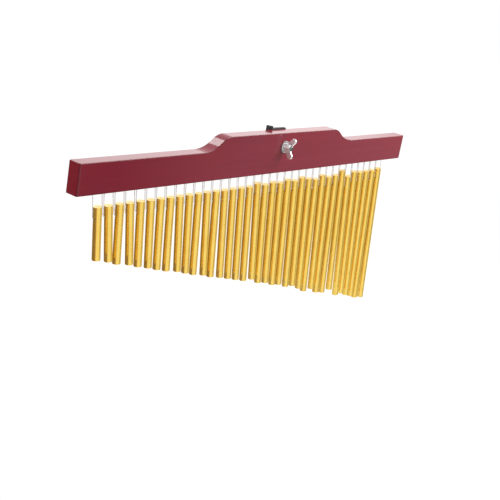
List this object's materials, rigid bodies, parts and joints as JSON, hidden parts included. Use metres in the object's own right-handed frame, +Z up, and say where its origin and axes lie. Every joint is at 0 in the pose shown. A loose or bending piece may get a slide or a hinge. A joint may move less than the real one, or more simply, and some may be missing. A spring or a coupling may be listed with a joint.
{
  "type": "bar chimes",
  "caption": "Row of graded gold metal bars hung on cord loops under a red lacquered wooden beam, with an eye bolt and wing nut for a stand rod.",
  "frame": {"origin": "centre of the eye behind the beam, on the axis of the upright stand rod", "axes": "+X along the row towards the longest bar, +Y back from the beam to the stand, +Z up"},
  "size_m": [0.6975, 0.0553, 0.3912],
  "materials": {
    "red_lacquer": "glossy red lacquer over hardwood",
    "nylon": "pale nylon cord",
    "gold_bar": "gold anodised, satin",
    "black_steel": "black paint, satin",
    "zinc": "bright zinc plate"
  },
  "bodies": {
    "beam": {"beam": "red_lacquer", "hanging_cords": "nylon", "saddle_plate": "black_steel"},
    "bolt": {"eye_bolt": "zinc"},
    "washer": {"flat_washer": "zinc"},
    "nut": {"wing_nut": "zinc"},
    "bar_01": {"chime_bar_01": "gold_bar"},
    "bar_02": {"chime_bar_02": "gold_bar"},
    "bar_03": {"chime_bar_03": "gold_bar"},
    "bar_04": {"chime_bar_04": "gold_bar"},
    "bar_05": {"chime_bar_05": "gold_bar"},
    "bar_06": {"chime_bar_06": "gold_bar"},
    "bar_07": {"chime_bar_07": "gold_bar"},
    "bar_08": {"chime_bar_08": "gold_bar"},
    "bar_09": {"chime_bar_09": "gold_bar"},
    "bar_10": {"chime_bar_10": "gold_bar"},
    "bar_11": {"chime_bar_11": "gold_bar"},
    "bar_12": {"chime_bar_12": "gold_bar"},
    "bar_13": {"chime_bar_13": "gold_bar"},
    "bar_14": {"chime_bar_14": "gold_bar"},
    "bar_15": {"chime_bar_15": "gold_bar"},
    "bar_16": {"chime_bar_16": "gold_bar"},
    "bar_17": {"chime_bar_17": "gold_bar"},
    "bar_18": {"chime_bar_18": "gold_bar"},
    "bar_19": {"chime_bar_19": "gold_bar"},
    "bar_20": {"chime_bar_20": "gold_bar"},
    "bar_21": {"chime_bar_21": "gold_bar"},
    "bar_22": {"chime_bar_22": "gold_bar"},
    "bar_23": {"chime_bar_23": "gold_bar"},
    "bar_24": {"chime_bar_24": "gold_bar"},
    "bar_25": {"chime_bar_25": "gold_bar"},
    "bar_26": {"chime_bar_26": "gold_bar"},
    "bar_27": {"chime_bar_27": "gold_bar"},
    "bar_28": {"chime_bar_28": "gold_bar"},
    "bar_29": {"chime_bar_29": "gold_bar"},
    "bar_30": {"chime_bar_30": "gold_bar"},
    "bar_31": {"chime_bar_31": "gold_bar"},
    "bar_32": {"chime_bar_32": "gold_bar"},
    "bar_33": {"chime_bar_33": "gold_bar"},
    "bar_34": {"chime_bar_34": "gold_bar"},
    "bar_35": {"chime_bar_35": "gold_bar"},
    "bar_36": {"chime_bar_36": "gold_bar"}
  },
  "joints": [
    {"name": "eye_turn", "type": "hinge", "parent": "beam", "child": "bolt", "pos_m": [0, 0, 0], "axis": [0, 1, 0], "range_deg": [-25, 25]},
    {"name": "nut_travel", "type": "slide", "parent": "beam", "child": "washer", "axis": [0, -1, 0], "range_m": [0, 0.0021]},
    {"name": "wing_nut_turn", "type": "hinge", "parent": "washer", "child": "nut", "pos_m": [0, -0.0312, 0], "axis": [0, -1, 0], "range_deg": [0, 720]},
    {"name": "bar_01_swing", "type": "hinge", "parent": "beam", "child": "bar_01", "pos_m": [-0.3365, -0.01985, -0.01915], "axis": [1, 0, 0], "range_deg": [-50, 50]},
    {"name": "bar_02_swing", "type": "hinge", "parent": "beam", "child": "bar_02", "pos_m": [-0.3192, -0.01985, -0.02183], "axis": [1, 0, 0], "range_deg": [-50, 50]},
    {"name": "bar_03_swing", "type": "hinge", "parent": "beam", "child": "bar_03", "pos_m": [-0.30191, -0.01985, -0.02451], "axis": [1, 0, 0], "range_deg": [-50, 50]},
    {"name": "bar_04_swing", "type": "hinge", "parent": "beam", "child": "bar_04", "pos_m": [-0.28462, -0.01985, -0.02719], "axis": [1, 0, 0], "range_deg": [-50, 50]},
    {"name": "bar_05_swing", "type": "hinge", "parent": "beam", "child": "bar_05", "pos_m": [-0.26732, -0.01985, -0.02986], "axis": [1, 0, 0], "range_deg": [-50, 50]},
    {"name": "bar_06_swing", "type": "hinge", "parent": "beam", "child": "bar_06", "pos_m": [-0.25003, -0.01985, -0.03254], "axis": [1, 0, 0], "range_deg": [-50, 50]},
    {"name": "bar_07_swing", "type": "hinge", "parent": "beam", "child": "bar_07", "pos_m": [-0.23273, -0.01985, -0.03522], "axis": [1, 0, 0], "range_deg": [-50, 50]},
    {"name": "bar_08_swing", "type": "hinge", "parent": "beam", "child": "bar_08", "pos_m": [-0.21544, -0.01985, -0.03789], "axis": [1, 0, 0], "range_deg": [-50, 50]},
    {"name": "bar_09_swing", "type": "hinge", "parent": "beam", "child": "bar_09", "pos_m": [-0.19814, -0.01985, -0.04057], "axis": [1, 0, 0], "range_deg": [-50, 50]},
    {"name": "bar_10_swing", "type": "hinge", "parent": "beam", "child": "bar_10", "pos_m": [-0.18085, -0.01985, -0.04325], "axis": [1, 0, 0], "range_deg": [-50, 50]},
    {"name": "bar_11_swing", "type": "hinge", "parent": "beam", "child": "bar_11", "pos_m": [-0.16356, -0.01985, -0.04593], "axis": [1, 0, 0], "range_deg": [-50, 50]},
    {"name": "bar_12_swing", "type": "hinge", "parent": "beam", "child": "bar_12", "pos_m": [-0.14626, -0.01985, -0.0486], "axis": [1, 0, 0], "range_deg": [-50, 50]},
    {"name": "bar_13_swing", "type": "hinge", "parent": "beam", "child": "bar_13", "pos_m": [-0.12897, -0.01985, -0.05128], "axis": [1, 0, 0], "range_deg": [-50, 50]},
    {"name": "bar_14_swing", "type": "hinge", "parent": "beam", "child": "bar_14", "pos_m": [-0.11167, -0.01985, -0.05396], "axis": [1, 0, 0], "range_deg": [-50, 50]},
    {"name": "bar_15_swing", "type": "hinge", "parent": "beam", "child": "bar_15", "pos_m": [-0.09438, -0.01985, -0.05664], "axis": [1, 0, 0], "range_deg": [-50, 50]},
    {"name": "bar_16_swing", "type": "hinge", "parent": "beam", "child": "bar_16", "pos_m": [-0.07709, -0.01985, -0.05931], "axis": [1, 0, 0], "range_deg": [-50, 50]},
    {"name": "bar_17_swing", "type": "hinge", "parent": "beam", "child": "bar_17", "pos_m": [-0.05979, -0.01985, -0.06199], "axis": [1, 0, 0], "range_deg": [-50, 50]},
    {"name": "bar_18_swing", "type": "hinge", "parent": "beam", "child": "bar_18", "pos_m": [-0.0425, -0.01985, -0.06127], "axis": [1, 0, 0], "range_deg": [-50, 50]},
    {"name": "bar_19_swing", "type": "hinge", "parent": "beam", "child": "bar_19", "pos_m": [-0.02521, -0.01985, -0.06735], "axis": [1, 0, 0], "range_deg": [-50, 50]},
    {"name": "bar_20_swing", "type": "hinge", "parent": "beam", "child": "bar_20", "pos_m": [-0.00791, -0.01985, -0.06832], "axis": [1, 0, 0], "range_deg": [-50, 50]},
    {"name": "bar_21_swing", "type": "hinge", "parent": "beam", "child": "bar_21", "pos_m": [0.00938, -0.01985, -0.0727], "axis": [1, 0, 0], "range_deg": [-50, 50]},
    {"name": "bar_22_swing", "type": "hinge", "parent": "beam", "child": "bar_22", "pos_m": [0.02668, -0.01985, -0.07298], "axis": [1, 0, 0], "range_deg": [-50, 50]},
    {"name": "bar_23_swing", "type": "hinge", "parent": "beam", "child": "bar_23", "pos_m": [0.04397, -0.01985, -0.07805], "axis": [1, 0, 0], "range_deg": [-50, 50]},
    {"name": "bar_24_swing", "type": "hinge", "parent": "beam", "child": "bar_24", "pos_m": [0.06127, -0.01985, -0.07753], "axis": [1, 0, 0], "range_deg": [-50, 50]},
    {"name": "bar_25_swing", "type": "hinge", "parent": "beam", "child": "bar_25", "pos_m": [0.07856, -0.01985, -0.08341], "axis": [1, 0, 0], "range_deg": [-50, 50]},
    {"name": "bar_26_swing", "type": "hinge", "parent": "beam", "child": "bar_26", "pos_m": [0.09585, -0.01985, -0.08829], "axis": [1, 0, 0], "range_deg": [-50, 50]},
    {"name": "bar_27_swing", "type": "hinge", "parent": "beam", "child": "bar_27", "pos_m": [0.11315, -0.01985, -0.08646], "axis": [1, 0, 0], "range_deg": [-50, 50]},
    {"name": "bar_28_swing", "type": "hinge", "parent": "beam", "child": "bar_28", "pos_m": [0.13044, -0.01985, -0.09284], "axis": [1, 0, 0], "range_deg": [-50, 50]},
    {"name": "bar_29_swing", "type": "hinge", "parent": "beam", "child": "bar_29", "pos_m": [0.14774, -0.01985, -0.09412], "axis": [1, 0, 0], "range_deg": [-50, 50]},
    {"name": "bar_30_swing", "type": "hinge", "parent": "beam", "child": "bar_30", "pos_m": [0.16503, -0.01985, -0.091], "axis": [1, 0, 0], "range_deg": [-50, 50]},
    {"name": "bar_31_swing", "type": "hinge", "parent": "beam", "child": "bar_31", "pos_m": [0.18232, -0.01985, -0.10367], "axis": [1, 0, 0], "range_deg": [-50, 50]},
    {"name": "bar_32_swing", "type": "hinge", "parent": "beam", "child": "bar_32", "pos_m": [0.19962, -0.01985, -0.10075], "axis": [1, 0, 0], "range_deg": [-50, 50]},
    {"name": "bar_33_swing", "type": "hinge", "parent": "beam", "child": "bar_33", "pos_m": [0.21691, -0.01985, -0.10483], "axis": [1, 0, 0], "range_deg": [-50, 50]},
    {"name": "bar_34_swing", "type": "hinge", "parent": "beam", "child": "bar_34", "pos_m": [0.2342, -0.01985, -0.1075], "axis": [1, 0, 0], "range_deg": [-50, 50]},
    {"name": "bar_35_swing", "type": "hinge", "parent": "beam", "child": "bar_35", "pos_m": [0.2515, -0.01985, -0.11018], "axis": [1, 0, 0], "range_deg": [-50, 50]},
    {"name": "bar_36_swing", "type": "hinge", "parent": "beam", "child": "bar_36", "pos_m": [0.26879, -0.01985, -0.11106], "axis": [1, 0, 0], "range_deg": [-50, 50]}
  ],
  "couplings": [
    {"joint": "nut_travel", "follows": "wing_nut_turn", "m_per_rad": 0.00015915}
  ]
}
